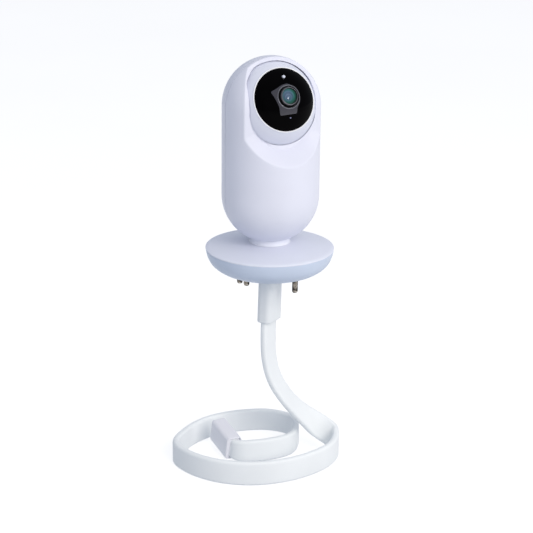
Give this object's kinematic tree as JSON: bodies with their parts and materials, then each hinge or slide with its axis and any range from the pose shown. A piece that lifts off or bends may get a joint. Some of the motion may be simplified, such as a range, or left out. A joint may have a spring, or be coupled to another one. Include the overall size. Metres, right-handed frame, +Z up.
{
  "type": "baby monitor camera",
  "caption": "Upright capsule camera with a tilting lens ball in its front, turning on a dished base held up by a flat bendable gooseneck arm coiled on the table.",
  "frame": {"origin": "centre of the footprint on the table, under the middle of the coiled arm", "axes": "+Z up, -Y the way the camera looks, +X to the camera's left seen from behind it and to a viewer's right from in front"},
  "size_m": [0.1226, 0.1032, 0.3054],
  "materials": {
    "shell": "satin lavender-white",
    "bowl": "satin blue-grey",
    "silicone": "smooth matt silicone",
    "trim": "satin",
    "window": "gloss, smoked",
    "bracket": "matt",
    "steel": "bright",
    "inner": "matt",
    "board": "satin",
    "chip": "matt",
    "nylon": "matt",
    "glass": "coated",
    "lamp": "diffusing"
  },
  "bodies": {
    "stand": {"arm_sleeve": "silicone", "arm_collar": "trim", "arm_plug": "steel", "arm_nut": "steel", "arm_end_cap": "trim", "base_bowl": "bowl", "base_top_plate": "shell", "neck_ring": "shell", "base_stud_1": "steel", "base_stud_2": "steel", "base_stud_3": "steel", "pan_post": "inner", "pan_sun_gear": "nylon"},
    "body": {"body_front_shell": "shell", "body_rear_shell": "shell", "chassis": "inner", "main_board": "board", "board_chip": "chip", "speaker": "chip", "microphone": "steel", "power_socket": "steel", "pan_motor": "steel", "tilt_fixed_gear": "nylon"},
    "pan_pinion_body": {"pan_pinion": "nylon"},
    "button": {"pair_button": "trim"},
    "head": {"head_front_shell": "shell", "head_rear_shell": "shell", "dome_window": "window", "lens_bracket": "bracket", "lens_barrel": "bracket", "lens_glass": "glass", "sensor_board": "board", "image_sensor": "chip", "status_lamp": "lamp", "light_sensor": "lamp", "tilt_axle_left": "steel", "tilt_axle_right": "steel", "tilt_motor": "steel"},
    "tilt_pinion_body": {"tilt_pinion": "nylon"}
  },
  "joints": [
    {"name": "pan", "type": "hinge", "parent": "stand", "child": "body", "pos_m": [0.00942, -0.00357, 0.1746], "axis": [0, 0, 1], "range_deg": [-170, 170]},
    {"name": "pan_pinion_spin", "type": "hinge", "parent": "body", "child": "pan_pinion_body", "pos_m": [0.00942, -0.01657, 0.1802], "axis": [0, 0, 1], "range_deg": [-385, 385]},
    {"name": "tilt", "type": "hinge", "parent": "body", "child": "head", "pos_m": [0.00942, -0.00357, 0.27045], "axis": [-1, 0, 0], "range_deg": [-40, 25]},
    {"name": "tilt_pinion_spin", "type": "hinge", "parent": "head", "child": "tilt_pinion_body", "pos_m": [-0.01658, 0.01043, 0.27045], "axis": [-1, 0, 0], "range_deg": [-105, 65]},
    {"name": "button_press", "type": "slide", "parent": "body", "child": "button", "axis": [0, -1, 0], "range_m": [0, 0.0008], "stiffness_N_per_m": 300, "springref_m": -0.0005}
  ],
  "couplings": [
    {"joint": "pan_pinion_spin", "follows": "pan", "ratio": 2.25},
    {"joint": "tilt_pinion_spin", "follows": "tilt", "ratio": 2.5}
  ]
}
